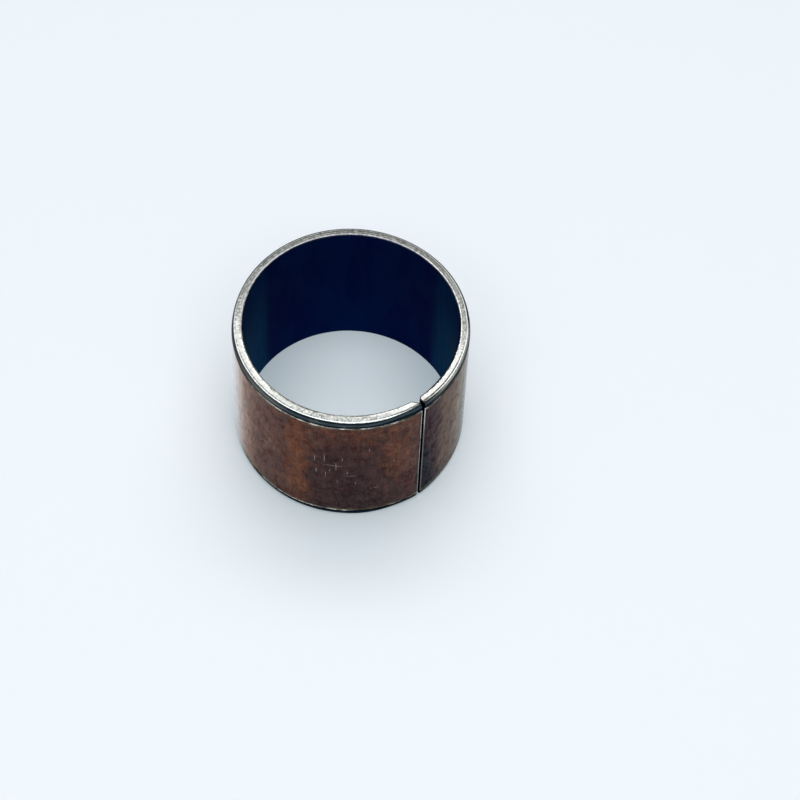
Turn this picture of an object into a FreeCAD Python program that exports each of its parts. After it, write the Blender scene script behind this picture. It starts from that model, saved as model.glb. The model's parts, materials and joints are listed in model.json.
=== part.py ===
import FreeCAD, Part
import os
import Sketcher

# Wrapped sliding bush: 50 mm bore, 55 mm outside diameter, 40 mm long.
#
# The bush is a laminated strip rolled into a cylinder, with a straight butt seam that stays
# slightly open until the bush is pressed into its housing. Its layers, from the outside in:
#
#     outer_copper_flash      copper plated on the strip before it was rolled, against rust
#     steel_backing           the low-carbon steel that carries the load
#     bond_copper_flash       the same plating on the strip's other side, under the bronze
#     sintered_bronze_layer   porous tin bronze, the reservoir that holds the sliding compound
#     ptfe_sliding_layer      the thin skin of filled PTFE that the shaft runs on
#
# Frame: millimetres, the axis is +Z, the lower end face lies on z = 0 and the seam faces -Y.
# The plating came before the rolling and the turning, so every machined edge is bare metal:
# the same cuts make the end chamfers and the broken seam edges in each layer they reach.

SHEET = "Dimensions"
COORDINATE_IS_ZERO = 1e-9
LEAST_CUT = 1e-6

# Driving dimensions in millimetres and degrees: alias, value.
DIMENSIONS = [
    ("bore_diameter", 50.0),
    ("outside_diameter", 55.0),
    ("bush_length", 40.0),
    ("copper_thickness", 0.02),
    ("bronze_thickness", 0.30),
    ("overlay_thickness", 0.03),
    ("seam_gap", 0.45),
    ("seam_outer_break", 0.25),
    ("seam_inner_break", 0.50),
    ("outer_chamfer_length", 1.90),
    ("outer_chamfer_angle", 13.0),
    ("bore_chamfer_length", 0.40),
    ("bore_chamfer_angle", 60.0),
    ("cut_margin", 0.50),
]


def dim(alias):
    """The expression that reads one cell of the sheet."""
    return f"{SHEET}.{alias}"


# Radii of the faces between the layers, from the bore outwards.
BORE = f"{dim('bore_diameter')} / 2"
OVERLAY_BACK = f"{BORE} + {dim('overlay_thickness')}"
BRONZE_BACK = f"{OVERLAY_BACK} + {dim('bronze_thickness')}"
STEEL_INSIDE = f"{BRONZE_BACK} + {dim('copper_thickness')}"
OUTSIDE = f"{dim('outside_diameter')} / 2"
STEEL_OUTSIDE = f"{OUTSIDE} - {dim('copper_thickness')}"

# Node name, inner radius, outer radius, and which end chamfers reach the layer.
LAYERS = [
    ("outer_copper_flash", STEEL_OUTSIDE, OUTSIDE, ("outer",)),
    ("steel_backing", STEEL_INSIDE, STEEL_OUTSIDE, ("outer", "bore")),
    ("bond_copper_flash", BRONZE_BACK, STEEL_INSIDE, ("bore",)),
    ("sintered_bronze_layer", OVERLAY_BACK, BRONZE_BACK, ("bore",)),
    ("ptfe_sliding_layer", BORE, OVERLAY_BACK, ("bore",)),
]


def make_sheet(doc):
    """The spreadsheet of driving dimensions, one row each: name, value."""
    sheet = doc.addObject("Spreadsheet::Sheet", SHEET)
    for row, (alias, value) in enumerate(DIMENSIONS, start=1):
        sheet.set(f"A{row}", alias)
        sheet.set(f"B{row}", str(value))
        sheet.setAlias(f"B{row}", alias)
    doc.recompute()
    return sheet


def origin_feature(body, role):
    """A body's own origin plane or axis, found by its role."""
    return next(f for f in body.Origin.OriginFeatures if f.Role == role)


def new_sketch(body, name, plane):
    """An empty sketch on one of the body's own origin planes."""
    sketch = body.newObject("Sketcher::SketchObject", name)
    sketch.AttachmentSupport = [(origin_feature(body, plane), "")]
    sketch.MapMode = "FlatFace"
    return sketch


def evaluate(sketch, expression):
    """The number that an expression has now, in millimetres."""
    result = sketch.evalExpression(expression)
    return float(getattr(result, "Value", result))


def pin_coordinate(sketch, line, kind, expression):
    """Holds one coordinate of a line's start point at the value of an expression."""
    value = evaluate(sketch, expression)
    if abs(value) < COORDINATE_IS_ZERO:
        axis = -2 if kind == "DistanceX" else -1
        sketch.addConstraint(Sketcher.Constraint("PointOnObject", line, 1, axis))
    elif value > 0:
        held = sketch.addConstraint(Sketcher.Constraint(kind, -1, 1, line, 1, value))
        sketch.setExpression(f"Constraints[{held}]", expression)
    else:
        held = sketch.addConstraint(Sketcher.Constraint(kind, line, 1, -1, 1, -value))
        sketch.setExpression(f"Constraints[{held}]", f"-({expression})")


def add_polygon(sketch, corners):
    """Draws a closed polygon whose corners are pairs of expressions, and pins each corner."""
    points = [FreeCAD.Vector(evaluate(sketch, x), evaluate(sketch, y), 0) for x, y in corners]
    first = sketch.GeometryCount
    count = len(points)
    for i in range(count):
        sketch.addGeometry(Part.LineSegment(points[i], points[(i + 1) % count]), False)
    for i in range(count):
        following = first + (i + 1) % count
        sketch.addConstraint(Sketcher.Constraint("Coincident", first + i, 2, following, 1))
    for i, (x, y) in enumerate(corners):
        pin_coordinate(sketch, first + i, "DistanceX", x)
        pin_coordinate(sketch, first + i, "DistanceY", y)


def both_ends(triangle):
    """The triangle at the upper end, and its mirror image at the lower end."""
    lower = [(radius, f"{dim('bush_length')} - ({height})") for radius, height in triangle]
    return [triangle, lower]


def chamfer_cut(wall_radius, outward, length, angle):
    """Section of the cut that chamfers one wall at the upper end, by a length along the axis
    and an angle from it. The wall's own metal lies inward of it if outward is "+"."""
    margin = dim("cut_margin")
    inward = "-" if outward == "+" else "+"
    slope = f"tan({angle} * 1deg)"
    outside = f"{wall_radius} {outward} {margin}"
    top = f"{dim('bush_length')} + {margin}"
    return [
        (outside, f"{dim('bush_length')} - {length} - {margin} / {slope}"),
        (f"{wall_radius} {inward} ({length} + {margin}) * {slope}", top),
        (outside, top),
    ]


def outer_chamfer_cut():
    """The long, shallow chamfer outside each end, which leads the bush into its housing."""
    return chamfer_cut(OUTSIDE, "+", dim("outer_chamfer_length"), dim("outer_chamfer_angle"))


def bore_chamfer_cut():
    """The short, wide chamfer at each end of the bore, which leads the shaft in."""
    return chamfer_cut(BORE, "-", dim("bore_chamfer_length"), dim("bore_chamfer_angle"))


CHAMFER_CUTS = {"outer": outer_chamfer_cut, "bore": bore_chamfer_cut}


def seam_cut():
    """Plan of the open butt seam at -Y, with its long edges broken outside and inside."""
    margin = dim("cut_margin")
    half = f"{dim('seam_gap')} / 2"
    right = [
        (f"{half} + {dim('seam_outer_break')} + {margin}", f"-({OUTSIDE}) - {margin}"),
        (half, f"-({OUTSIDE}) + {dim('seam_outer_break')}"),
        (half, f"-({BORE}) - {dim('seam_inner_break')}"),
        (f"{half} + {dim('seam_inner_break')} + {margin}", f"-({BORE}) + {margin}"),
    ]
    left = [(f"-({x})", y) for x, y in reversed(right)]
    return right + left


def turned_about_axis(body, kind, name, sketch):
    """A full Revolution or Groove of a sketch about the body's Z axis."""
    feature = body.newObject(kind, name)
    feature.Profile = sketch
    feature.ReferenceAxis = (origin_feature(body, "Z_Axis"), [""])
    feature.Angle = 360.0
    body.Document.recompute()
    return feature


def cut_below(volume, feature, what):
    """Makes sure that a cut took material away."""
    left = feature.Shape.Volume
    if left > volume - LEAST_CUT:
        raise RuntimeError(f"{what} cut nothing: {volume:.4f} mm3 before and {left:.4f} after")
    return left


def make_layer(doc, name, inner_radius, outer_radius, chamfers):
    """One layer of the strip: a rolled tube, its end chamfers turned off, its seam left open."""
    body = doc.addObject("PartDesign::Body", name)
    body.Label = name
    body.Placement = FreeCAD.Placement()
    doc.recompute()

    wall = new_sketch(body, f"{name}_wall", "XZ_Plane")
    add_polygon(
        wall,
        [
            (inner_radius, "0"),
            (outer_radius, "0"),
            (outer_radius, dim("bush_length")),
            (inner_radius, dim("bush_length")),
        ],
    )
    doc.recompute()
    tube = turned_about_axis(body, "PartDesign::Revolution", f"{name}_tube", wall)
    volume = tube.Shape.Volume

    for chamfer in chamfers:
        section = new_sketch(body, f"{name}_{chamfer}_chamfer_section", "XZ_Plane")
        for triangle in both_ends(CHAMFER_CUTS[chamfer]()):
            add_polygon(section, triangle)
        doc.recompute()
        groove = turned_about_axis(body, "PartDesign::Groove", f"{name}_{chamfer}_chamfers", section)
        volume = cut_below(volume, groove, f"{name}: the {chamfer} chamfer")

    plan = new_sketch(body, f"{name}_seam_plan", "XY_Plane")
    add_polygon(plan, seam_cut())
    doc.recompute()
    seam = body.newObject("PartDesign::Pocket", f"{name}_seam")
    seam.Profile = plan
    seam.Type = "Length"
    seam.setExpression("Length", dim("bush_length"))
    seam.Reversed = True
    doc.recompute()
    cut_below(volume, seam, f"{name}: the seam")
    return body


def check_document(doc, bodies):
    """Stops the build if any object failed or any layer isn't one closed, valid solid."""
    for obj in doc.Objects:
        if "Invalid" in obj.State or "Error" in obj.State:
            raise RuntimeError(f"{obj.Name} failed: {obj.State}")
    for body in bodies:
        shape = body.Shape
        if shape.isNull() or not shape.isValid() or len(shape.Solids) != 1:
            raise RuntimeError(f"{body.Label} isn't one valid solid")


def main():
    doc = FreeCAD.newDocument("sliding_bush")
    make_sheet(doc)
    bodies = [make_layer(doc, *layer) for layer in LAYERS]
    doc.recompute()
    check_document(doc, bodies)
    os.makedirs("parts", exist_ok=True)
    for body in bodies:
        body.Shape.exportStep(os.path.join("parts", f"{body.Label}.step"))
        size = body.Shape.BoundBox
        print(
            f"{body.Label}: {body.Shape.Volume:.2f} mm3, "
            f"{size.XLength:.3f} x {size.YLength:.3f} x {size.ZLength:.3f} mm"
        )


main()
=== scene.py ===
"""Looks of the wrapped sliding bush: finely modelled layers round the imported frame, their materials,
a pale floor, soft light and the camera. Mesh code works in millimetres and turns to metres at the end.

Azimuths are degrees about the bush's axis, counted from the seam (at -Y) towards +X.
"""

import json
import math

import bmesh
import bpy
import numpy as np
from mathutils import Matrix, Vector


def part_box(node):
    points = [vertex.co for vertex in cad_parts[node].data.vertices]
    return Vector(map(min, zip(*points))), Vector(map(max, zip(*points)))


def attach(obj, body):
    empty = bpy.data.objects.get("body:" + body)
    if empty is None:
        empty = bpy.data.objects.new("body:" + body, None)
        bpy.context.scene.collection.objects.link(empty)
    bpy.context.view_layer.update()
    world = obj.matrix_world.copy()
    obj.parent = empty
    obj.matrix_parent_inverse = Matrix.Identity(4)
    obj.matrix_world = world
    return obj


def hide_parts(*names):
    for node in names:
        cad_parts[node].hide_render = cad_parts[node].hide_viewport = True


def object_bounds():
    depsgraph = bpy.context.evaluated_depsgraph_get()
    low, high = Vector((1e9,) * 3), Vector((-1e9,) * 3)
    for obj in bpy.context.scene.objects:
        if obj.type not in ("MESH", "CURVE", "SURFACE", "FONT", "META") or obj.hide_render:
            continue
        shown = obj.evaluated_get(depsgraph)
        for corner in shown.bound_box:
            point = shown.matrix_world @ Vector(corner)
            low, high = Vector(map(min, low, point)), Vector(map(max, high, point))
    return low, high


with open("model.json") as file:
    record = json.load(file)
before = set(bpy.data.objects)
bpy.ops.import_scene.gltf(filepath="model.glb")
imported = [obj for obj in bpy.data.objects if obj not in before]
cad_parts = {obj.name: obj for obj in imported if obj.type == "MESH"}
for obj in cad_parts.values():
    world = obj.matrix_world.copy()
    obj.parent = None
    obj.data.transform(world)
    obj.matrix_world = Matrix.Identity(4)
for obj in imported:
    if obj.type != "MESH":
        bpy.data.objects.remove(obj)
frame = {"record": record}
cad_low, cad_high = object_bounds()

MM = 0.001
TURN = 2 * math.pi

# ---------------------------------------------------------------------------------------------
# Sizes, in millimetres. Those that the frame holds are read from it.
# ---------------------------------------------------------------------------------------------


def mount(name):
    """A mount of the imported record, by name."""
    return next(m for m in frame["record"]["mounts"] if m["name"] == name)


def outer_radius(node):
    """The radius of a layer's outer face."""
    low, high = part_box(node)
    return (high.x - low.x) / 2 / MM


LENGTH = cad_high.z / MM
HALF_LENGTH = LENGTH / 2
BORE = mount("bore")["dims"]["r_mm"]
LINING_BACK = outer_radius("ptfe_sliding_layer")
BRONZE_BACK = outer_radius("sintered_bronze_layer")
BOND_BACK = outer_radius("bond_copper_flash")
STEEL_OUTSIDE = outer_radius("steel_backing")
OUTSIDE = mount("housing_seat")["dims"]["r_mm"]

OUTER_CHAMFER_LENGTH = (LENGTH - mount("housing_seat")["dims"]["length_mm"]) / 2
OUTER_CHAMFER_SLOPE = math.tan(math.radians(13))
BORE_CHAMFER_LENGTH = (LENGTH - mount("bore")["dims"]["length_mm"]) / 2
BORE_CHAMFER_WIDTH = BORE_CHAMFER_LENGTH * math.tan(math.radians(60))
FACE_INSIDE = BORE + BORE_CHAMFER_WIDTH
FACE_OUTSIDE = OUTSIDE - OUTER_CHAMFER_LENGTH * OUTER_CHAMFER_SLOPE

SEAM_GAP = 0.64
SEAM_OUTER_BREAK = 0.25
SEAM_FLARE = 0.22
SEAM_FLARE_DEGREES = 11
SEAM_BURR = 0.16
SEAM_BURR_HEIGHT = 25.4

# How far the rolled wall leaves a true circle.
OVAL = 0.03
BULGE = 0.26
BULGE_AZIMUTH = 66
BULGE_DEGREES = 30
WAVES = 0.012

# The turned end face: how far it falls towards its outer edge, the deep ring in it, and how far
# and where its outer edge runs wide of a circle and inside one.
FACE_FALL = 0.045
GROOVE_RADIUS = FACE_OUTSIDE - 0.48
GROOVE_HALF_WIDTH = 0.075
FACE_WIDE = 0.13
FACE_WIDE_AZIMUTH = -30
FACE_NARROW = 0.06
FACE_NARROW_AZIMUTH = -9

DENTS = 46

# ---------------------------------------------------------------------------------------------
# Noise that is the same each run
# ---------------------------------------------------------------------------------------------


def ragged(azimuth, seed, pitch):
    """Jagged noise round the bush, from -1 to 1, with a new value every so many millimetres."""
    count = max(3, round(TURN * OUTSIDE / pitch))
    values = np.random.default_rng(seed).uniform(-1, 1, count)
    knots = np.arange(count) * 360 / count
    return np.interp(azimuth, knots, values, period=360)


def patchy(azimuth, height, seed, pitch_round, pitch_up):
    """Smooth noise over the wall, from -1 to 1. Azimuth and height broadcast together."""
    columns = max(4, round(TURN * OUTSIDE / pitch_round))
    rows = max(4, round(LENGTH / pitch_up) + 3)
    grid = np.random.default_rng(seed).uniform(-1, 1, (rows, columns))
    u = np.mod(azimuth, 360) / 360 * columns
    v = np.clip(height / pitch_up, 0, rows - 2.001)
    u, v = np.broadcast_arrays(u, v)
    left, low = np.floor(u).astype(int), np.floor(v).astype(int)
    across, up = u - left, v - low
    across, up = across**2 * (3 - 2 * across), up**2 * (3 - 2 * up)
    left, right = left % columns, (left + 1) % columns
    bottom = grid[low, left] * (1 - across) + grid[low, right] * across
    top = grid[low + 1, left] * (1 - across) + grid[low + 1, right] * across
    return bottom * (1 - up) + top * up


def smooth_step(value, low, high):
    """0 below low, 1 above high and smooth between them. It falls instead if low is above high."""
    share = np.clip((value - low) / (high - low), 0, 1)
    return share * share * (3 - 2 * share)


def bell(value, centre, width):
    """1 at the centre, falling to nothing a few widths away."""
    return np.exp(-(((value - centre) / width) ** 2))


def signed(azimuth):
    """Azimuths turned into the range -180 to 180, so that 0 is the seam."""
    return np.mod(azimuth + 180, 360) - 180


# ---------------------------------------------------------------------------------------------
# The strip: every layer is a loop of points swept round from one seam end to the other
# ---------------------------------------------------------------------------------------------

SEAM_END = math.degrees(SEAM_GAP / 2 / OUTSIDE)


def stations(pitch):
    """Azimuths from the seam's right end round to its left end, closer together near both."""
    close_stretch = 1.8
    near = close_stretch * np.linspace(0, 1, 22) ** 1.7
    circumference = math.radians(360 - 2 * SEAM_END) * OUTSIDE
    count = round((circumference - 2 * close_stretch) / pitch)
    middle = np.linspace(close_stretch, circumference - close_stretch, count)[1:-1]
    along = np.concatenate([near, middle, circumference - near[::-1]])
    return SEAM_END + np.degrees(along / OUTSIDE)


def seam_distances(azimuth):
    """Arc lengths from the right end of the strip and from its left end."""
    right = np.radians(azimuth - SEAM_END) * OUTSIDE
    left = np.radians(360 - SEAM_END - azimuth) * OUTSIDE
    return right, left


def rounded_corner(distance, width, depth):
    """How far an elliptical corner has cut in, at a distance from the strip's end."""
    share = np.clip(1 - distance / width, 0, 1)
    return depth * (1 - np.sqrt(1 - share**2))


def roll_over(azimuth, height):
    """How far the strip's inner side was drawn outwards, near its ends, as it was sheared."""
    right, left = seam_distances(azimuth)
    corner = smooth_step(np.minimum(height, LENGTH - height), 6.0, 0.5)
    left_width = 0.8 + 1.0 * corner
    left_depth = 0.55 + 0.95 * corner
    right_width = 0.5
    right_depth = 0.34
    at_left = np.clip(1 - left / left_width, 0, 1) ** 1.4
    at_right = np.clip(1 - right / right_width, 0, 1) ** 1.4
    return left_depth * at_left + right_depth * at_right


def outer_limit(azimuth, height):
    """The greatest radius that is left by the broken outer edges of the strip's two ends."""
    deepest = 0.0
    for distance, seed in zip(seam_distances(azimuth), (31, 32)):
        width = SEAM_OUTER_BREAK * (1 + 0.25 * ragged(height * 9, seed, 1.1))
        cut = rounded_corner(distance, width, SEAM_OUTER_BREAK * 0.8)
        deepest = np.maximum(deepest, cut)
    return OUTSIDE - deepest


def seam_shift(azimuth, height):
    """Degrees by which the strip's ends leave a straight seam: cut back at its mouths, one burr."""
    right, left = seam_distances(azimuth)
    back = 0.15 * smooth_step(np.minimum(height, LENGTH - height), 2.6, 0.5)
    burr = SEAM_BURR * bell(height, SEAM_BURR_HEIGHT, 0.55)
    shift = back * bell(right, 0, 1.2) + (burr - back) * bell(left, 0, 1.2)
    return np.degrees(shift / OUTSIDE)


def form_error(azimuth, height):
    """How far the rolled strip leaves a true circle: the ends flare and the wall is wavy."""
    away = signed(azimuth)
    flare = SEAM_FLARE * bell(away, 0, SEAM_FLARE_DEGREES)
    oval = OVAL * np.cos(np.radians(2 * azimuth + 70))
    bulge = BULGE * bell(away, BULGE_AZIMUTH, BULGE_DEGREES)
    waves = WAVES * patchy(azimuth, height, seed=5, pitch_round=14, pitch_up=12)
    return flare + oval + bulge + waves


def swept(name, azimuth, radius, height):
    """A closed piece: the loops of points (one row per azimuth) joined up and capped."""
    rows, points = radius.shape
    station = azimuth[:, None]
    angle = np.radians(station + seam_shift(station, height))
    radius = radius + form_error(station, height)
    x, y = radius * np.sin(angle), -radius * np.cos(angle)
    vertices = np.stack([x, y, height], -1).reshape(-1, 3) * MM
    row, point = np.meshgrid(np.arange(rows - 1), np.arange(points), indexing="ij")
    following = (point + 1) % points
    quads = np.stack(
        [
            row * points + point,
            (row + 1) * points + point,
            (row + 1) * points + following,
            row * points + following,
        ],
        -1,
    ).reshape(-1, 4)
    first = list(range(points))
    last = [(rows - 1) * points + i for i in reversed(range(points))]
    mesh = bpy.data.meshes.new(name)
    mesh.from_pydata(vertices.tolist(), [], quads.tolist() + [first, last])
    tidy_mesh(mesh)
    piece = bpy.data.objects.new(name, mesh)
    bpy.context.scene.collection.objects.link(piece)
    return piece


def tidy_mesh(mesh):
    """Turns the faces outwards, fills the caps with triangles and shades all but sharp edges smooth."""
    work = bmesh.new()
    work.from_mesh(mesh)
    caps = [face for face in work.faces if len(face.verts) > 4]
    bmesh.ops.triangulate(work, faces=caps)
    bmesh.ops.recalc_face_normals(work, faces=work.faces)
    work.to_mesh(mesh)
    work.free()
    mesh.shade_smooth()
    mesh.set_sharp_from_angle(angle=math.radians(35))


def mirrored_loop(radius, height):
    """Completes a loop whose upper half runs from the inner wall over the end to the outer wall."""
    return (
        np.concatenate([radius, radius[:, ::-1]], 1),
        np.concatenate([height, LENGTH - height[:, ::-1]], 1),
    )


def lip_drop(inwards):
    """How far the worn bore chamfer has fallen, so far inwards of the flat end face."""
    roundness = 3
    share = np.clip(inwards / BORE_CHAMFER_WIDTH, 0, 0.999)
    return BORE_CHAMFER_LENGTH * (1 - (1 - share**roundness) ** (1 / roundness))


# ---------------------------------------------------------------------------------------------
# The five layers
# ---------------------------------------------------------------------------------------------


def face_outside(azimuth):
    """The end face's outer radius, where the chamfer begins: turned a little off centre."""
    away = signed(azimuth)
    wide = FACE_WIDE * bell(away, FACE_WIDE_AZIMUTH, 10)
    narrow = FACE_NARROW * bell(away, FACE_NARROW_AZIMUTH, 7)
    return FACE_OUTSIDE + wide - narrow


def face_relief(azimuth, radius):
    """Height of the turned end face over its flat: tool marks, a deep ring, and a fall outwards."""
    fine_marks = 0.0022 * np.sin(radius * TURN / 0.23 + 0.5 * ragged(azimuth, 11, 20))
    coarse_marks = 0.003 * np.sin(radius * TURN / 0.61 + 1.3)
    depth = 0.012 + 0.022 * smooth_step(ragged(azimuth, 12, 16), -0.3, 0.6)
    depth += 0.085 * bell(signed(azimuth), 2, 16)
    groove = -depth * bell(radius, GROOVE_RADIUS + 0.04 * ragged(azimuth, 13, 30), GROOVE_HALF_WIDTH)
    fall = -FACE_FALL * (radius - FACE_INSIDE) / (FACE_OUTSIDE - FACE_INSIDE)
    rim = -0.24 * np.clip(radius - face_outside(azimuth) + 0.24, 0, 1)
    grain = 0.002 * ragged(azimuth, 14, 0.7)
    return fine_marks + coarse_marks + groove + fall + rim + grain


def chamfer_relief(azimuth, share):
    """How far the outer chamfer stands off its plain cone, from its top (0) to its foot (1)."""
    tool_marks = 0.012 * np.sin(share * TURN * 3.5 + 0.8 * ragged(azimuth, 15, 24))
    bulge = 0.05 * np.sin(np.pi * share)
    grain = 0.003 * ragged(azimuth, 16, 0.7)
    return tool_marks + bulge + grain


def build_steel():
    """The backing: the whole wall but its skins, with the turned ends and the seam's faces.

    Its loop goes up the inner wall, over the bevel and the end face, and down the chamfer.
    """
    azimuth = stations(pitch=0.27)
    round_it = np.ones((len(azimuth), 1))
    inner_edge = 0.05 * ragged(azimuth, 17, 0.45) + 0.05 * ragged(azimuth, 18, 4)
    inner_edge *= 1 + 1.6 * bell(signed(azimuth), -42, 24)
    inner_edge -= 0.25 * bell(signed(azimuth), -5.5, 5)
    face_inside = (FACE_INSIDE + inner_edge)[:, None]

    levels = (HALF_LENGTH, HALF_LENGTH + 7, LENGTH - 6, LENGTH - 4, LENGTH - 2.4, LENGTH - 1.2)
    wall_z = np.array(levels) * round_it
    wall_r = BOND_BACK + roll_over(azimuth[:, None], wall_z)

    start = wall_r[:, -1:]
    face_inside = np.maximum(face_inside, start + 0.01)
    share = np.linspace(0, 1, 6)
    bevel_r = start + (face_inside - start) * share
    bevel_z = LENGTH - lip_drop(face_inside - bevel_r)

    edge = face_outside(azimuth)[:, None]
    face_r = face_inside + (edge - face_inside) * np.linspace(0, 1, 27)[1:]
    face_z = LENGTH + face_relief(azimuth[:, None], face_r)

    share = np.linspace(0, 1, 19)[1:]
    cone_r = edge + (OUTSIDE - edge) * share
    cone_z = LENGTH - OUTER_CHAMFER_LENGTH * share
    cone_r = np.minimum(cone_r + chamfer_relief(azimuth[:, None], share), STEEL_OUTSIDE)
    cone_z = (cone_z - FACE_FALL * np.exp(-share * 12)) * round_it

    skin_z = np.array([LENGTH - 2.2, LENGTH - 2.6, LENGTH - 3.2, HALF_LENGTH + 6, HALF_LENGTH])
    skin_r = np.full((len(azimuth), len(skin_z)), STEEL_OUTSIDE)

    radius = np.concatenate([wall_r, bevel_r, face_r, cone_r, skin_r], 1)
    height = np.concatenate([wall_z, bevel_z, face_z, cone_z, skin_z * round_it], 1)
    radius, height = mirrored_loop(radius, height)
    radius = np.minimum(radius, outer_limit(azimuth[:, None], height))
    return swept("steel_wall", azimuth, radius, height)


def copper_edge(azimuth, seed):
    """How far the plating's end stands back from the chamfer's foot: rubbed off in stretches."""
    away = signed(azimuth)
    rubbed = smooth_step(ragged(azimuth, seed, 9), -0.5, 0.3)
    rubbed = np.maximum(rubbed, bell(away, -52, 17))
    rubbed = rubbed * (1 - 0.8 * bell(away, -6, 6))
    nibbles = 0.07 * ragged(azimuth, seed + 1, 0.35) + 0.06 * ragged(azimuth, seed + 2, 1.3)
    return np.clip(0.12 + 0.42 * rubbed + nibbles, 0.02, 1.0)


def dents(azimuth, height):
    """Shallow knocks in the plated wall, seeded, a millimetre or so across."""
    generator = np.random.default_rng(71)
    total = 0.0
    for _ in range(DENTS):
        place = generator.uniform(0, 360)
        level = generator.uniform(2, LENGTH - 2)
        size = generator.uniform(0.35, 1.3)
        depth = generator.uniform(0.006, 0.022)
        across = np.radians(signed(azimuth - place)) * OUTSIDE
        total = total - depth * bell(across, 0, size) * bell(height, level, size)
    return total


def build_copper():
    """The plating on the outside, thin and ragged at its edges."""
    azimuth = stations(pitch=0.30)
    right, left = seam_distances(azimuth)
    top = LENGTH - OUTER_CHAMFER_LENGTH - copper_edge(azimuth, 21)
    bottom = OUTER_CHAMFER_LENGTH + copper_edge(azimuth, 24)
    share = np.linspace(0, 1, 104)
    outer_z = bottom[:, None] + (top - bottom)[:, None] * share
    outer_r = OUTSIDE + dents(azimuth[:, None], outer_z)
    inner_z = outer_z[:, ::-1]
    inner_r = np.full_like(inner_z, STEEL_OUTSIDE - 0.01)
    # The hidden inner face needs fewer points.
    radius = np.concatenate([outer_r, inner_r[:, ::12]], 1)
    height = np.concatenate([outer_z, inner_z[:, ::12]], 1)
    edge = SEAM_OUTER_BREAK + 0.02
    held = (right > edge) & (left > edge)
    azimuth, radius, height = azimuth[held], radius[held], height[held]
    return swept("copper_plating", azimuth, radius, height)


def build_skin(name, inside, outside, pitch, rows, raggedness, seed):
    """A layer on the bore side: from its inner face to its back, cut by the bore chamfers."""
    azimuth = stations(pitch)
    round_it = np.ones((len(azimuth), 1))
    wander = ragged(azimuth, seed, 0.4) + 0.8 * ragged(azimuth, seed + 1, 2.5)
    wander = raggedness * wander[:, None]

    def end_height(radius):
        """The height of the bore chamfer's surface at a radius."""
        return LENGTH - lip_drop(FACE_INSIDE - radius)

    drawn = roll_over(azimuth, LENGTH)[:, None]
    top = end_height(inside + drawn) + wander
    inner_z = HALF_LENGTH + (top - HALF_LENGTH) * np.linspace(0, 1, rows)
    inner_r = inside + roll_over(azimuth[:, None], inner_z)
    share = np.linspace(0, 1, 10)[1:]
    bevel_r = drawn + inside + (outside - inside) * share
    bevel_z = end_height(bevel_r) + wander * (1 - share)
    back_z = np.array([LENGTH - 3.0, HALF_LENGTH + 8, HALF_LENGTH]) * round_it
    back_r = outside + roll_over(azimuth[:, None], back_z)
    radius = np.concatenate([inner_r, bevel_r, back_r], 1)
    height = np.concatenate([inner_z, bevel_z, back_z], 1)
    radius, height = mirrored_loop(radius, height)
    return swept(name, azimuth, radius, height)


# ---------------------------------------------------------------------------------------------
# Materials
# ---------------------------------------------------------------------------------------------


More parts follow.
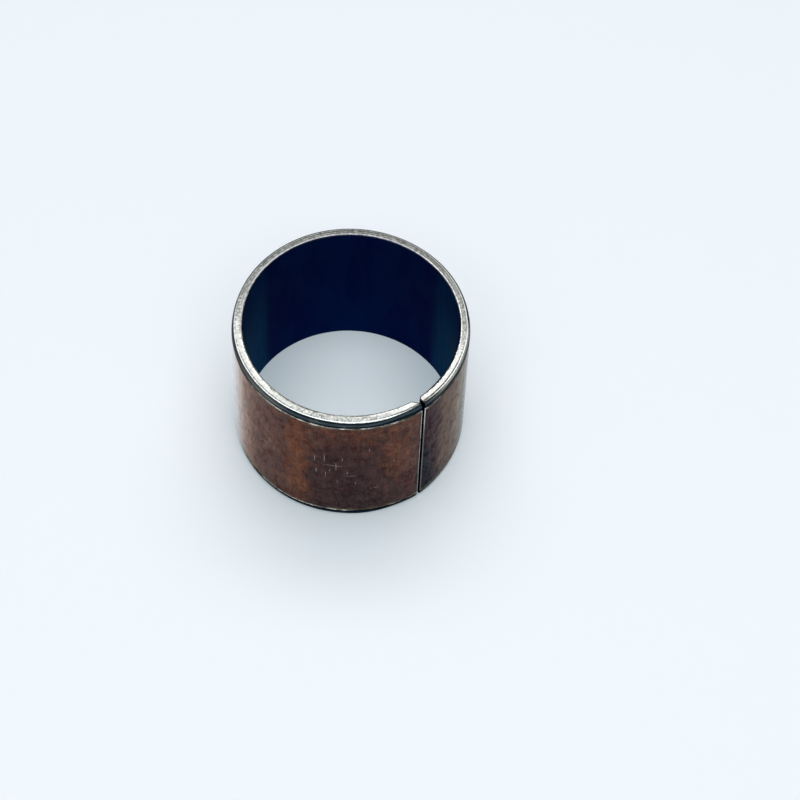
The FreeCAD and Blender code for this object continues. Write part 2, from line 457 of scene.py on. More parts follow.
class Graph:
    """A procedural material, written as nested calls. A value may be a number or a socket."""

    def __init__(self, name, metallic, roughness, specular=0.5):
        """A new material. Its pattern's place is in millimetres, in the bush's frame."""
        self.material = bpy.data.materials.new(name)
        self.material.use_nodes = True
        self.nodes = self.material.node_tree.nodes
        self.links = self.material.node_tree.links
        self.shader = self.nodes["Principled BSDF"]
        self.shader.inputs["Metallic"].default_value = metallic
        self.shader.inputs["Roughness"].default_value = roughness
        self.shader.inputs["Specular IOR Level"].default_value = specular
        place = self.nodes.new("ShaderNodeTexCoord").outputs["Object"]
        self.place = self.scaled(place, (1 / MM, 1 / MM, 1 / MM))

    def feed(self, socket, value):
        """Gives a socket its value: a link from another socket, a number, a vector or a colour."""
        if isinstance(value, bpy.types.NodeSocket):
            self.links.new(value, socket)
        elif isinstance(value, tuple) and len(value) == 3 and len(socket.default_value) == 4:
            socket.default_value = (*value, 1.0)
        else:
            socket.default_value = value

    def math(self, operation, first, second=0.0):
        """An operation on numbers."""
        node = self.nodes.new("ShaderNodeMath")
        node.operation = operation
        self.feed(node.inputs[0], first)
        self.feed(node.inputs[1], second)
        return node.outputs[0]

    def product(self, first, second):
        """Two numbers multiplied."""
        return self.math("MULTIPLY", first, second)

    def greater(self, first, second):
        """The greater of two numbers."""
        return self.math("MAXIMUM", first, second)

    def vector(self, operation, first, second=(0, 0, 0)):
        """An operation on vectors, which gives a vector or, for lengths and the like, a number."""
        node = self.nodes.new("ShaderNodeVectorMath")
        node.operation = operation
        self.feed(node.inputs[0], first)
        self.feed(node.inputs[1], second)
        is_number = operation in ("LENGTH", "DISTANCE", "DOT_PRODUCT")
        return node.outputs["Value" if is_number else "Vector"]

    def scaled(self, vector, factors):
        """A vector with each of its parts multiplied."""
        return self.vector("MULTIPLY", vector, factors)

    def part(self, vector, axis):
        """The X, Y or Z of a vector."""
        node = self.nodes.new("ShaderNodeSeparateXYZ")
        self.feed(node.inputs[0], vector)
        return node.outputs[axis]

    def step(self, value, low, high, bottom=0.0, top=1.0):
        """A smooth step from bottom to top as the value goes from low to high."""
        node = self.nodes.new("ShaderNodeMapRange")
        node.interpolation_type = "SMOOTHSTEP"
        for name, given in (
            ("Value", value),
            ("From Min", low),
            ("From Max", high),
            ("To Min", bottom),
            ("To Max", top),
        ):
            self.feed(node.inputs[name], given)
        return node.outputs["Result"]

    def mix(self, share, first, second, kind="MIX"):
        """The first colour at a share of 0 and the second at 1."""
        node = self.nodes.new("ShaderNodeMix")
        node.data_type = "RGBA"
        node.blend_type = kind
        node.clamp_factor = True
        self.feed(node.inputs[0], share)
        self.feed(node.inputs[6], first)
        self.feed(node.inputs[7], second)
        return node.outputs[2]

    def tinted(self, colour, tint):
        """A colour multiplied by another."""
        return self.mix(1.0, colour, tint, "MULTIPLY")

    def noise(self, scale, stretch=(1, 1, 1), *, seed, detail=4.0, roughness=0.55, colour=False):
        """Noise with so many cells per millimetre, drawn out along the axes of stretch."""
        node = self.nodes.new("ShaderNodeTexNoise")
        node.noise_dimensions = "4D"
        self.feed(node.inputs["Vector"], self.scaled(self.place, stretch))
        self.feed(node.inputs["W"], seed)
        self.feed(node.inputs["Scale"], scale)
        self.feed(node.inputs["Detail"], detail)
        self.feed(node.inputs["Roughness"], roughness)
        return node.outputs["Color" if colour else "Fac"]

    def grey(self, value):
        """A grey of so much light, as a colour."""
        node = self.nodes.new("ShaderNodeCombineColor")
        for socket in node.inputs:
            self.feed(socket, value)
        return node.outputs[0]

    def band(self, value, start, full, fade, end):
        """1 between full and fade, falling to 0 at start and at end."""
        return self.product(self.step(value, start, full), self.step(value, end, fade))

    def sector(self, azimuth, half_angle):
        """1 at an azimuth, falling smoothly to 0 so many degrees to either side."""
        angle = math.radians(azimuth)
        outwards = self.vector("NORMALIZE", self.scaled(self.place, (1, 1, 0)))
        facing = self.vector("DOT_PRODUCT", outwards, (math.sin(angle), -math.cos(angle), 0))
        edge, full = (math.cos(math.radians(half_angle * share)) for share in (1, 0.5))
        return self.step(facing, edge, full)

    def radius(self):
        """The distance from the bush's axis."""
        return self.vector("LENGTH", self.scaled(self.place, (1, 1, 0)))

    def from_end(self):
        """The distance from the nearer end of the bush, along its axis."""
        height = self.part(self.place, "Z")
        from_middle = self.math("ABSOLUTE", self.math("SUBTRACT", height, HALF_LENGTH))
        return self.math("SUBTRACT", HALF_LENGTH, from_middle)

    def spot(self, azimuth, height, half_width, half_height, wander=None):
        """1 at a place on the wall, falling smoothly to 0 at an ellipse round it."""
        angle = math.radians(azimuth)
        centre = (OUTSIDE * math.sin(angle), -OUTSIDE * math.cos(angle), height)
        stretch = (1 / half_width, 1 / half_width, 1 / half_height)
        place = self.place if wander is None else self.vector("ADD", self.place, wander)
        middle = tuple(part * factor for part, factor in zip(centre, stretch))
        away = self.vector("DISTANCE", self.scaled(place, stretch), middle)
        return self.step(away, 1.15, 0.35)

    def bump(self, height, distance, strength, under=None):
        """Relief of a height from 0 to 1, so many millimetres deep."""
        node = self.nodes.new("ShaderNodeBump")
        self.feed(node.inputs["Strength"], strength)
        self.feed(node.inputs["Distance"], distance * MM)
        self.feed(node.inputs["Height"], height)
        if under is not None:
            self.feed(node.inputs["Normal"], under)
        return node.outputs["Normal"]

    def smeared_lining(self):
        """1 inside a ragged line round the bore's edge, over which the dark lining was dragged."""
        wander = self.noise(1.6, detail=4, roughness=0.8, seed=91)
        ragged_radius = self.math("ADD", self.radius(), wander)
        limit = self.step(self.sector(-75, 100), 0.0, 1.0, FACE_INSIDE + 0.11, FACE_INSIDE - 0.15)
        limit = self.math("ADD", limit, self.product(self.sector(26, 28), 0.26))
        return self.step(self.math("SUBTRACT", ragged_radius, limit), 0.04, -0.04)

    def finish(self, colour, roughness=None, normal=None):
        """Connects the shader's main inputs, and gives the finished material."""
        self.feed(self.shader.inputs["Base Color"], colour)
        if roughness is not None:
            self.feed(self.shader.inputs["Roughness"], roughness)
        if normal is not None:
            self.feed(self.shader.inputs["Normal"], normal)
        return self.material


# Colours are linear.
COPPER_BROWN = (0.072, 0.027, 0.0175)
COPPER_ORANGE = (0.120, 0.037, 0.0175)
COPPER_PURPLE = (0.037, 0.0145, 0.0175)
COPPER_MAROON = (0.060, 0.016, 0.017)
COPPER_BLUE = (0.060, 0.034, 0.036)
COPPER_NIGHT = (0.011, 0.017, 0.028)
COPPER_DUSK = (0.060, 0.036, 0.026)
COPPER_GREY = (0.056, 0.040, 0.038)
COPPER_OLIVE = (0.140, 0.132, 0.100)
# The tan, pale and sand colours are partly the plating's own and partly painted highlight along its
# left edge; the pale one is almost all painted highlight.
COPPER_TAN = (0.640, 0.480, 0.390)
COPPER_PALE_HIGHLIGHT = (0.420, 0.360, 0.320)
COPPER_SAND = (0.300, 0.175, 0.118)
COPPER_RUST = (0.130, 0.050, 0.034)
COPPER_RED = (0.084, 0.024, 0.016)
COPPER_BRIGHT = (0.42, 0.34, 0.28)
COPPER_NICK = (0.012, 0.010, 0.010)

# Stains on the plating, some of them painted highlight and shadow: azimuth, height, half width,
# half height, colour, strength. Each is laid over those before it.
STAINS = [
    # On the left edge: partly the plating's lighter colour, partly painted highlight.
    (-124, 22, 8, 60, COPPER_PALE_HIGHLIGHT, 0.85),
    (-111, 22, 5, 50, COPPER_TAN, 0.70),
    (-101, 22, 6, 40, COPPER_SAND, 0.85),
    (-91, 22, 5, 36, COPPER_RUST, 0.60),
    (-80, 20, 7, 30, COPPER_RED, 0.80),
    (-64, 19, 3.6, 36, COPPER_ORANGE, 1.00),
    (-50, 14, 5.5, 18, COPPER_PURPLE, 0.75),
    (-38, 15, 8.5, 19, COPPER_PURPLE, 1.00),
    (-24, 13, 5.0, 17, COPPER_PURPLE, 0.75),
    (-38, 37, 4, 3.0, COPPER_ORANGE, 0.35),
    (-15, 25, 4.0, 13, COPPER_ORANGE, 0.50),
    (-6, 8, 3.0, 12, COPPER_MAROON, 0.90),
    (-22, 3, 9, 7, COPPER_PURPLE, 0.85),
    (-46, 2, 11, 6, COPPER_PURPLE, 0.80),
    (3, 10, 3.2, 16, COPPER_NIGHT, 0.90),
    # Painted shadow where the foot meets the floor.
    (12, 0, 14, 6, COPPER_NIGHT, 0.85),
    # Partly the plating's colour, partly painted highlight along the right edge.
    (38, 20, 7.5, 34, COPPER_OLIVE, 0.95),
    (68, 26, 8, 20, COPPER_ORANGE, 0.80),
    (92, 12, 9, 15, COPPER_PURPLE, 0.85),
    (118, 27, 6, 16, COPPER_MAROON, 0.70),
    (138, 16, 7, 28, COPPER_ORANGE, 0.80),
    (163, 25, 10, 18, COPPER_GREY, 0.70),
    (186, 12, 9, 16, COPPER_PURPLE, 0.85),
    (203, 28, 6, 20, COPPER_ORANGE, 0.85),
    (218, 15, 5, 22, COPPER_MAROON, 0.50),
]

# Single light scratches: azimuth, height, half width, half height.
SCRATCHES = [
    (-54.0, 23.5, 0.12, 1.5),
    (-53.2, 18.5, 0.11, 1.2),
    (-49.2, 24.5, 0.13, 1.8),
    (-48.6, 17.5, 0.12, 1.6),
    (-43.5, 21.5, 0.11, 2.2),
    (-42.8, 15.0, 0.10, 1.0),
    (-38.0, 19.0, 0.11, 1.0),
    (-44.0, 21.8, 3.20, 0.09),
    (-36.0, 17.6, 1.80, 0.08),
    (-40.5, 24.8, 0.10, 0.8),
    (-46.5, 19.6, 0.10, 0.6),
    (-34.0, 14.5, 0.10, 0.7),
    (-27.5, 28.5, 0.10, 0.9),
    (-24.0, 11.5, 0.90, 0.08),
    (-79.0, 22.0, 0.13, 1.2),
    (-76.5, 19.5, 0.11, 0.9),
    (-81.5, 19.8, 1.10, 0.10),
    (-86.0, 18.5, 0.70, 0.13),
    (-15.0, 21.5, 0.20, 0.6),
    (98.0, 22.0, 0.13, 2.4),
    (150.0, 14.0, 0.12, 2.0),
    (196.0, 20.0, 1.60, 0.10),
]

# Single dark nicks, in the same terms.
NICKS = [
    (23.5, 23.0, 0.42, 1.1),
    (21.8, 20.6, 0.28, 0.7),
    (-25.5, 36.4, 0.30, 0.6),
    (-11.0, 31.0, 0.30, 0.7),
    (127.0, 25.0, 0.35, 1.0),
    (171.0, 18.0, 0.30, 0.8),
]


def copper_gloss(graph, right_of_seam, next_to_seam):
    """Dims the plating's glancing reflections by its tarnish, and adds a thin oil film."""
    tint = graph.mix(right_of_seam, (1.00, 0.93, 0.89), (1.00, 0.88, 0.82))
    tint = graph.mix(graph.sector(46, 19), tint, (1.00, 1.00, 0.98))
    tint = graph.mix(next_to_seam, tint, (0.64, 0.63, 0.63))
    tarnish = graph.noise(0.8, (1, 1, 0.6), detail=6, roughness=0.75, seed=33)
    dimmer = graph.tinted(tint, (0.72, 0.71, 0.71))
    tint = graph.mix(graph.step(tarnish, 0.47, 0.61), tint, dimmer)
    oil_on_right = graph.product(graph.sector(54, 20), 0.4)
    oil = graph.greater(graph.sector(-132, 36), oil_on_right)
    graph.feed(graph.shader.inputs["Specular Tint"], tint)
    graph.feed(graph.shader.inputs["Coat Weight"], oil)


def copper_stains(graph, cloud, right_of_seam, next_to_seam):
    """The plating's broad colours: brown, with stains whose edges wander, some of them painted
    highlight and shadow.
    """
    drift = graph.noise(0.34, (0.5, 0.5, 1), detail=5, roughness=0.65, seed=3.1, colour=True)
    wander = graph.scaled(drift, (9, 9, 13))
    wander = graph.vector("SUBTRACT", wander, (4.5, 4.5, 6.5))
    colour = graph.mix(graph.step(cloud, 0.40, 0.62), COPPER_PURPLE, COPPER_ORANGE)
    colour = graph.mix(0.60, colour, COPPER_BROWN)
    colour = graph.mix(right_of_seam, colour, COPPER_DUSK)
    colour = graph.mix(next_to_seam, colour, COPPER_BLUE)
    for azimuth, height, half_width, half_height, tint, strength in STAINS:
        blot = graph.spot(azimuth, height, half_width, half_height, wander)
        colour = graph.mix(graph.product(blot, strength), colour, tint)
    return colour


def copper_tarnish(graph, colour, mottle, right_of_seam):
    """Breaks the colours up: blotches, changes of hue, and marks along and across the axis."""
    blotches = graph.noise(0.42, (1, 1, 0.8), detail=6, roughness=0.72, seed=13)
    lighter = graph.tinted(colour, (1.42, 1.46, 1.36))
    darker = graph.tinted(colour, (0.68, 0.58, 0.72))
    colour = graph.mix(graph.step(blotches, 0.38, 0.62), darker, lighter)

    streaked = graph.greater(graph.sector(-104, 52), right_of_seam)
    hue = graph.noise(0.9, (1, 1, 0.7), detail=5, roughness=0.7, seed=17)
    redder = graph.tinted(colour, (1.10, 0.94, 0.96))
    bluer = graph.tinted(colour, (0.90, 1.10, 1.06))
    coloured = graph.mix(graph.step(hue, 0.38, 0.62), redder, bluer)
    colour = graph.mix(graph.product(streaked, 0.8), coloured, colour)

    along = graph.noise(1.5, (1, 1, 0.06), detail=4, roughness=0.7, seed=7)
    across = graph.noise(1.2, (0.2, 0.2, 1), detail=4, roughness=0.7, seed=9)
    marks = graph.math("ADD", along, graph.product(across, 0.5))
    marks = graph.math("ADD", marks, graph.product(mottle, 2.5))
    shade = graph.step(marks, 1.72, 2.28, 0.60, 1.32)
    streaks = graph.step(along, 0.36, 0.64, 0.78, 1.20)
    shade = graph.mix(graph.product(streaked, 0.65), shade, streaks)
    return graph.tinted(colour, graph.grey(shade))


def dark_lines(graph, colour):
    """Darkens a narrow line of the plating along each side of the seam."""
    from_seam = graph.math("ABSOLUTE", graph.part(graph.place, "X"))
    near_side = graph.step(graph.part(graph.place, "Y"), 0.0, -1.0)
    lines = graph.product(graph.band(from_seam, 0.75, 0.90, 1.15, 1.35), near_side)
    return graph.mix(graph.product(lines, 0.62), colour, (0.010, 0.009, 0.012))


def copper_edges(graph, colour, cloud):
    """Greys the inner flash, and dirties the plating just above its ragged ends."""
    on_inner_flash = graph.step(graph.radius(), OUTSIDE - 1.0, OUTSIDE - 1.5)
    colour = graph.mix(on_inner_flash, colour, (0.16, 0.14, 0.12))
    rim = graph.step(graph.from_end(), 3.2, 2.5)
    rim = graph.product(rim, graph.step(cloud, 0.45, 0.60, 0.0, 0.7))
    return graph.mix(rim, colour, (0.13, 0.11, 0.055))


def copper_scuffs(graph, mottle):
    """Where the tarnish is scratched off: fine scuffs in patches, and the single scratches.

    The fine scuffs are the peaks of noise drawn out along the axis (upright) and round it (level).
    """
    patches = graph.step(graph.noise(0.24, detail=2, seed=23), 0.50, 0.62)
    upright = graph.noise(1.0, (5.0, 5.0, 0.30), detail=2, roughness=0.5, seed=19)
    upright = graph.product(graph.step(upright, 0.66, 0.73), patches)
    level = graph.noise(1.0, (0.40, 0.40, 6.0), detail=2, roughness=0.5, seed=29)
    level = graph.product(graph.step(level, 0.66, 0.74), patches)
    scuffs = graph.product(graph.greater(upright, level), 0.45)
    for azimuth, height, half_width, half_height in SCRATCHES:
        scratch = graph.spot(azimuth, height, half_width, half_height)
        scuffs = graph.greater(scuffs, scratch)
    return graph.product(scuffs, graph.step(mottle, 0.38, 0.60, 0.25, 0.9))


def copper_material():
    """Tarnished copper plating: stains, some of them painted highlight and shadow, marks along and
    across the axis, scuffs and scratches.
    """
    graph = Graph("tarnished_copper_plating", metallic=1.0, roughness=0.34)
    right_side = graph.step(graph.part(graph.place, "X"), -0.1, 0.1)
    right_of_seam = graph.product(graph.sector(12, 28), right_side)
    next_to_seam = graph.product(graph.sector(1, 14), right_side)
    cloud = graph.noise(0.35, detail=6, roughness=0.68, seed=11)
    mottle = graph.noise(1.0, detail=6, roughness=0.8, seed=15)

    copper_gloss(graph, right_of_seam, next_to_seam)
    colour = copper_stains(graph, cloud, right_of_seam, next_to_seam)
    colour = copper_tarnish(graph, colour, mottle, right_of_seam)
    colour = dark_lines(graph, colour)
    scuffs = copper_scuffs(graph, mottle)
    colour = graph.mix(scuffs, colour, COPPER_BRIGHT)
    for azimuth, height, half_width, half_height in NICKS:
        nick = graph.spot(azimuth, height, half_width, half_height)
        colour = graph.mix(graph.product(nick, 0.8), colour, COPPER_NICK)
    colour = copper_edges(graph, colour, cloud)

    fine = graph.noise(7.0, (1, 1, 0.45), detail=3, roughness=0.6, seed=37)
    roughness = graph.step(graph.math("ADD", mottle, fine), 0.7, 1.3, 0.26, 0.46)
    normal = graph.bump(fine, 0.010, 0.5)
    normal = graph.bump(scuffs, 0.015, 0.6, normal)
    return graph.finish(colour, roughness, normal)


def face_colour(graph, grime, speckle, clumps, long_patches):
    """The turned end: flecked grey, brighter where the light falls and darker in painted shade at the
    back and the right, with a pale strip and a groove.
    """
    radius = graph.radius()
    colour = graph.mix(graph.step(grime, 0.36, 0.64), (0.17, 0.180, 0.17), (0.28, 0.295, 0.29))
    colour = graph.mix(graph.step(speckle, 0.51, 0.58, 0.0, 0.75), colour, (0.09, 0.095, 0.09))
    colour = graph.mix(graph.step(speckle, 0.49, 0.42, 0.0, 0.85), colour, (0.44, 0.46, 0.45))
    colour = graph.mix(graph.step(clumps, 0.53, 0.60, 0.0, 0.50), colour, (0.11, 0.115, 0.11))
    colour = graph.mix(graph.step(clumps, 0.47, 0.40, 0.0, 0.45), colour, (0.50, 0.52, 0.51))

    strip = graph.step(radius, FACE_OUTSIDE - 0.34, FACE_OUTSIDE - 0.24)
    strip = graph.product(strip, graph.step(radius, FACE_OUTSIDE - 0.01, FACE_OUTSIDE - 0.06))
    colour = graph.mix(graph.product(strip, 0.55), colour, (0.62, 0.64, 0.63))
    inside_groove = graph.step(radius, GROOVE_RADIUS - 0.08, GROOVE_RADIUS - 0.18)
    lit_front = graph.product(graph.sector(12, 38), 0.7)
    lit_left = graph.product(graph.sector(-98, 38), 0.5)
    lit = graph.product(graph.greater(lit_front, lit_left), inside_groove)
    colour = graph.mix(lit, colour, (0.42, 0.435, 0.42))

    # Painted shade: darker at the back and on the right of the end face.
    painted_face_shade = graph.greater(graph.sector(85, 50), graph.sector(-162, 34))
    painted_face_shade = graph.greater(painted_face_shade, graph.sector(150, 44))
    colour = graph.mix(painted_face_shade, colour, graph.tinted(colour, (0.66, 0.67, 0.66)))

    from_groove = graph.math("ABSOLUTE", graph.math("SUBTRACT", radius, GROOVE_RADIUS))
    groove = graph.step(from_groove, 0.12, 0.04)
    strength = graph.product(graph.step(long_patches, 0.45, 0.62), 0.25)
    strength = graph.greater(graph.sector(6, 34), strength)
    groove = graph.product(groove, graph.product(strength, 0.85))
    return graph.mix(groove, colour, (0.05, 0.055, 0.055))


def bevel_colour(graph, speckle, clumps):
    """The rounded edge of the bore: bright with painted highlight at the front and left and darker with
    painted shade at the back, flecked, with the lining smeared over it in places.
    """
    # Painted highlight and shade: lighter towards the front and the left, darker at the back.
    colour = graph.mix(graph.sector(-10, 135), (0.34, 0.35, 0.39), (0.78, 0.80, 0.78))
    colour = graph.mix(graph.sector(-98, 26), colour, (0.82, 0.84, 0.82))
    colour = graph.mix(graph.sector(-54, 34), colour, (0.38, 0.40, 0.38))
    colour = graph.mix(graph.step(speckle, 0.50, 0.56, 0.0, 0.8), colour, (0.10, 0.105, 0.11))
    colour = graph.mix(graph.step(clumps, 0.54, 0.60, 0.0, 0.55), colour, (0.13, 0.135, 0.14))
    return graph.mix(graph.smeared_lining(), colour, (0.012, 0.016, 0.030))


def chamfer_colour(graph, long_patches):
    """The outer chamfer: dark with painted shade at the front, paler on the left and olive on the right
    with painted highlight, with pale patches of wear and a lighter band round it.
    """
    from_end = graph.from_end()
    raised = graph.product(graph.sector(4, 30), 0.36)
    band = graph.band(graph.math("ADD", from_end, raised), 1.32, 1.20, 0.72, 0.58)
    waver = graph.noise(1.1, (0.35, 0.35, 5.0), detail=3, roughness=0.6, seed=41)
    band = graph.product(band, graph.step(waver, 0.30, 0.60, 0.45, 1.0))
    # The dark colour is painted shade; the pale and olive colours are painted highlight.
    dark = graph.mix(band, (0.010, 0.017, 0.023), (0.060, 0.078, 0.090))
    pale = graph.mix(band, (0.090, 0.092, 0.084), (0.190, 0.192, 0.178))
    olive = graph.mix(band, (0.070, 0.070, 0.062), (0.260, 0.262, 0.225))

    # Paler on the left as painted highlight, and in random patches of wear all round.
    worn_patches = graph.step(long_patches, 0.56, 0.66, 0.0, 0.4)
    lighter_share = graph.greater(graph.sector(-112, 48), worn_patches)
    colour = graph.mix(lighter_share, dark, pale)
    colour = graph.mix(graph.sector(31, 31), colour, olive)
    top = graph.product(graph.step(from_end, 0.9, 0.2), graph.sector(33, 24))
    return graph.mix(top, colour, (0.62, 0.62, 0.56))


def foot_colour(graph, grime, long_patches):
    """Steel that shines at the chamfer's foot, where the plating is rubbed off, in stretches."""
    burnished = graph.mix(graph.step(grime, 0.40, 0.60), (0.20, 0.18, 0.15), (0.80, 0.74, 0.66))
    shiny = graph.greater(graph.sector(-64, 16), graph.step(long_patches, 0.42, 0.56))
    return graph.mix(shiny, (0.11, 0.10, 0.08), burnished)


def is_on_chamfer(graph):
    """1 on the outer chamfer and below it: outside the face's edge, which runs off centre."""
    radius = graph.radius()
    below_edge = graph.step(graph.from_end(), 0.10, 0.16)
    outer_half = graph.step(radius, FACE_OUTSIDE - 0.46, FACE_OUTSIDE - 0.16)
    wide = graph.product(graph.sector(FACE_WIDE_AZIMUTH, 18), FACE_WIDE)
    narrow = graph.product(graph.sector(FACE_NARROW_AZIMUTH, 13), FACE_NARROW)
    centred = graph.math("ADD", graph.math("SUBTRACT", radius, wide), narrow)
    past_edge = graph.step(centred, FACE_OUTSIDE - 0.06, FACE_OUTSIDE - 0.01)
    return graph.greater(graph.product(below_edge, outer_half), past_edge)


def seam_colours(graph, colour, fine):
    """Bright broken edges on both sides of the seam, and the gap between them in shadow."""
    across, back, height = (graph.part(graph.place, axis) for axis in "XYZ")
    from_seam = graph.math("ABSOLUTE", across)
    from_end = graph.from_end()
    beside_seam = graph.product(graph.step(from_seam, 1.2, 0.9), graph.step(back, 0.0, -1.0))
    edge = graph.mix(graph.step(fine, 0.35, 0.65), (0.36, 0.34, 0.33), (0.80, 0.78, 0.76))
    low_on_right = graph.product(graph.step(across, 0.0, 0.2), graph.step(height, 36.0, 26.0))
    edge = graph.mix(graph.product(low_on_right, 0.75), edge, (0.09, 0.085, 0.09))
    on_wall = graph.step(from_end, 1.7, 1.9)
    colour = graph.mix(graph.product(beside_seam, on_wall), colour, edge)

    half_gap = graph.step(from_end, 2.6, 0.5, 0.36, 0.48)
    gap = graph.step(graph.math("SUBTRACT", from_seam, half_gap), 0.03, -0.03)
    under_surface = graph.step(graph.radius(), OUTSIDE + 0.02, OUTSIDE - 0.10)
    gap = graph.product(graph.product(gap, beside_seam), under_surface)
    return graph.mix(gap, colour, (0.012, 0.013, 0.016))


def steel_material():
    """Bare steel: bright turned ends, dark chamfers with painted shade and highlight, sheared seam
    faces in shadow.
    """
    graph = Graph("turned_steel", metallic=1.0, roughness=0.22)
    graph.shader.inputs["Specular Tint"].default_value = (0.30, 0.32, 0.35, 1.0)
    grime = graph.noise(0.9, detail=5, roughness=0.7, seed=45)
    fine = graph.noise(5.0, detail=4, roughness=0.75, seed=49)
    speckle = graph.noise(1.4, detail=5, roughness=0.85, seed=50)
    clumps = graph.noise(0.75, detail=4, roughness=0.75, seed=52)
    long_patches = graph.noise(0.22, detail=3, roughness=0.6, seed=51)

    on_bevel = graph.step(graph.radius(), FACE_INSIDE + 0.05, FACE_INSIDE - 0.05)
    colour = face_colour(graph, grime, speckle, clumps, long_patches)
    colour = graph.mix(on_bevel, colour, bevel_colour(graph, speckle, clumps))
    colour = graph.mix(is_on_chamfer(graph), colour, chamfer_colour(graph, long_patches))
    at_foot = graph.step(graph.from_end(), OUTER_CHAMFER_LENGTH - 0.10, OUTER_CHAMFER_LENGTH + 0.02)
    colour = graph.mix(at_foot, colour, foot_colour(graph, grime, long_patches))
    colour = seam_colours(graph, colour, fine)

    roughness = graph.step(grime, 0.30, 0.70, 0.17, 0.28)
    roughness = graph.math("ADD", roughness, graph.product(on_bevel, 0.12))
    normal = graph.bump(fine, 0.005, 0.5)
    return graph.finish(colour, roughness, normal)


def bronze_material():
    """Sintered tin bronze: grains and pores, darker away from the front, smeared with the lining's dark
    filling.
    """
    graph = Graph("sintered_bronze", metallic=1.0, roughness=0.45)
    grain = graph.nodes.new("ShaderNodeTexVoronoi")
    graph.feed(grain.inputs["Vector"], graph.place)
    graph.feed(grain.inputs["Scale"], 6.0)
    pores = graph.step(grain.outputs["Distance"], 0.20, 0.55)
    mottle = graph.noise(1.6, detail=4, roughness=0.7, seed=53)
    lighter = graph.step(mottle, 0.35, 0.65)
    darker_grain = graph.mix(lighter, (0.030, 0.034, 0.036), (0.16, 0.16, 0.12))
    open_grain = graph.mix(lighter, (0.40, 0.42, 0.33), (0.90, 0.92, 0.80))
    open_grain = graph.mix(graph.sector(0, 4), open_grain, (0.02, 0.02, 0.022))
    # Darker colours away from the front, lighter open grain at the front.
    colour = graph.mix(graph.sector(-72, 100), darker_grain, open_grain)
    colour = graph.mix(graph.product(pores, 0.5), colour, (0.025, 0.032, 0.040))
    colour = graph.mix(graph.smeared_lining(), colour, (0.010, 0.014, 0.030))
    normal = graph.bump(graph.math("SUBTRACT", 1.0, pores), 0.03, 0.8)
    return graph.finish(colour, graph.step(mottle, 0.3, 0.7, 0.32, 0.55), normal)


def lining_material():
    """Filled PTFE: blue-black, almost without gloss, with faint marks of rolling along the axis and a
    painted teal sheen on two sides of the bore.
    """
    graph = Graph("filled_ptfe_lining", metallic=0.0, roughness=0.42, specular=0.002)
    cloud = graph.noise(0.16, (1, 1, 0.25), detail=3, seed=57)
    flecks = graph.noise(5.5, detail=3, roughness=0.7, seed=61)
    marks = graph.noise(1.6, (1, 1, 0.06), detail=3, seed=65)
    colour = graph.mix(graph.step(cloud, 0.42, 0.60), (0.0004, 0.0062, 0.058), (0.0007, 0.0100, 0.066))
    colour = graph.mix(graph.step(flecks, 0.62, 0.74, 0.0, 0.2), colour, (0.006, 0.012, 0.034))
    height = graph.part(graph.place, "Z")
    # Painted sheen: teal streaks on the inner wall on two sides, fainter towards the top.
    lighter_share = graph.greater(graph.sector(-148, 20), graph.sector(72, 21))
    lighter_share = graph.product(lighter_share, graph.step(height, LENGTH, LENGTH * 0.3, 0.35, 1.0))
    lighter_share = graph.product(lighter_share, graph.step(marks, 0.40, 0.60, 0.5, 1.0))
    colour = graph.mix(lighter_share, colour, (0.0014, 0.0480, 0.1200))
    roughness = graph.step(marks, 0.30, 0.70, 0.34, 0.52)
    normal = graph.bump(graph.math("ADD", flecks, marks), 0.010, 0.4)
    return graph.finish(colour, roughness, normal)


def floor_material():
    """A plain pale table top: slightly glossy, and glowing faintly so that shadows stay pale."""
    graph = Graph("pale_floor", metallic=0.0, roughness=0.38, specular=0.35)
    graph.shader.inputs["Emission Color"].default_value = (0.61, 0.93, 1.0, 1.0)
    graph.shader.inputs["Emission Strength"].default_value = 0.165
    return graph.finish((0.69, 0.69, 0.73))


def dress(piece, node, material):
    """Puts a piece in place of its node, with its material, on the one body that there is."""
    piece.data.materials.append(material)
    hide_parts(node)
    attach(piece, "root")


# ---------------------------------------------------------------------------------------------
# Camera, light and floor
# ---------------------------------------------------------------------------------------------

# The camera, in millimetres and degrees: it looks down on the bush from the front left.
CAMERA_PLACE = (-216.5, -279.0, 557.0)
CAMERA_AIM = (12.9, -3.6, 0.0)
CAMERA_ROLL = 2.84
CAMERA_LENS = 122.3

# The soft lights hang in a row over the bush: name, distance beyond the axis, size across and
# along the row, radiance, colour. Distances are in metres.
LIGHT_ROW_AZIMUTH = 139.7
LIGHT_HEIGHT = 1.2
SOFTBOXES = [
    ("overhead_softbox", 0.0, (1.1, 0.5), 3.5, (0.95, 1.0, 1.02)),
    ("rear_softbox", 0.66, (1.5, 0.65), 2.6, (1.02, 0.99, 0.98)),
    ("front_softbox", -0.72, (1.4, 0.8), 2.3, (1.0, 1.0, 1.0)),
]
FLOOR_HALF_SIZE = 4.0


def add_camera():
    """A long lens, aimed a little beside the bush's foot and rolled slightly."""
    data = bpy.data.cameras.new("camera")
    data.sensor_width = 36.0
    data.lens = CAMERA_LENS
    data.clip_start, data.clip_end = 0.05, 50.0
    camera = bpy.data.objects.new("camera", data)
    bpy.context.scene.collection.objects.link(camera)
    camera.location = Vector(CAMERA_PLACE) * MM
    aim = Vector(CAMERA_AIM) * MM
    level = (aim - camera.location).to_track_quat("-Z", "Y").to_matrix()
    roll = Matrix.Rotation(math.radians(CAMERA_ROLL), 3, "Z")
    camera.rotation_euler = (level @ roll).to_euler()
    bpy.context.scene.camera = camera


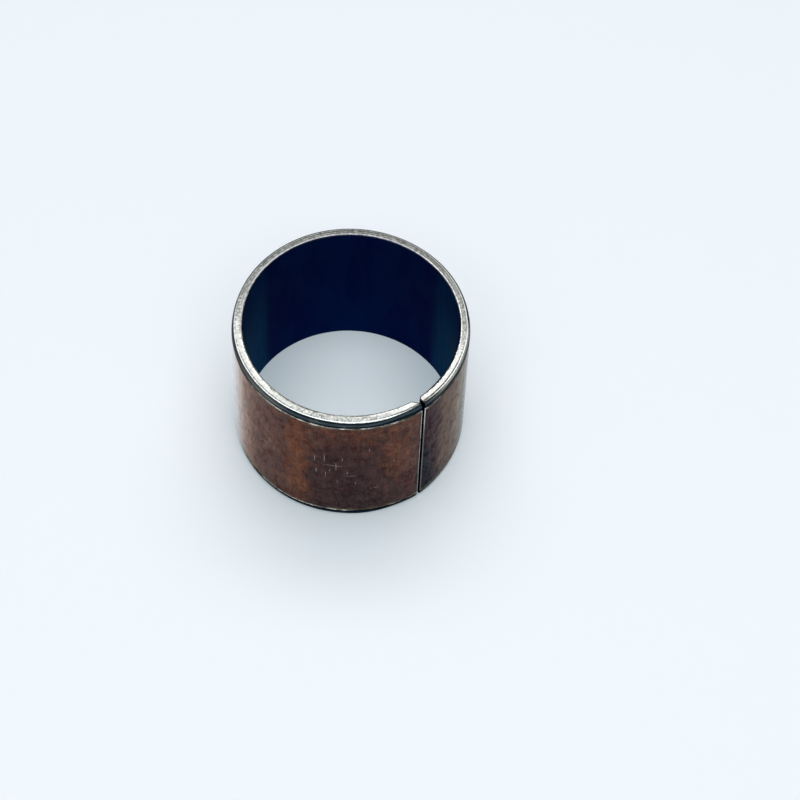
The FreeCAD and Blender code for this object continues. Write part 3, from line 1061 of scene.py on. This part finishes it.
def add_softbox(name, beyond, size, radiance, colour):
    """A soft rectangular light over the bush, facing down."""
    data = bpy.data.lights.new(name, "AREA")
    data.shape = "RECTANGLE"
    data.size, data.size_y = size
    data.energy = radiance * size[0] * size[1] * math.pi
    data.color = colour
    lamp = bpy.data.objects.new(name, data)
    bpy.context.scene.collection.objects.link(lamp)
    angle = math.radians(LIGHT_ROW_AZIMUTH)
    lamp.location = (beyond * math.sin(angle), -beyond * math.cos(angle), LIGHT_HEIGHT)
    lamp.rotation_euler = (0, 0, angle)


def add_world():
    """Even, nearly white light from all round."""
    world = bpy.data.worlds.new("soft_room")
    world.use_nodes = True
    background = world.node_tree.nodes["Background"]
    background.inputs["Color"].default_value = (0.99, 0.99, 0.99, 1.0)
    background.inputs["Strength"].default_value = 0.18
    bpy.context.scene.world = world


def add_floor():
    """A large square table top under the bush."""
    half = FLOOR_HALF_SIZE
    mesh = bpy.data.meshes.new("floor")
    corners = [(-half, -half, 0), (half, -half, 0), (half, half, 0), (-half, half, 0)]
    mesh.from_pydata(corners, [], [(0, 1, 2, 3)])
    mesh.materials.append(floor_material())
    floor = bpy.data.objects.new("floor", mesh)
    bpy.context.scene.collection.objects.link(floor)


# ---------------------------------------------------------------------------------------------
# Everything together
# ---------------------------------------------------------------------------------------------

add_camera()
for softbox in SOFTBOXES:
    add_softbox(*softbox)
add_world()
add_floor()
bpy.context.scene.view_settings.view_transform = "Standard"

copper = copper_material()
dress(build_steel(), "steel_backing", steel_material())
dress(build_copper(), "outer_copper_flash", copper)
dress(
    build_skin("bond_flash", BRONZE_BACK, BOND_BACK, pitch=0.6, rows=8, raggedness=0.01, seed=81),
    "bond_copper_flash",
    copper,
)
dress(
    build_skin("bronze_layer", LINING_BACK, BRONZE_BACK, pitch=0.3, rows=8, raggedness=0.04, seed=84),
    "sintered_bronze_layer",
    bronze_material(),
)
dress(
    build_skin("lining", BORE, LINING_BACK, pitch=0.3, rows=30, raggedness=0.05, seed=87),
    "ptfe_sliding_layer",
    lining_material(),
)
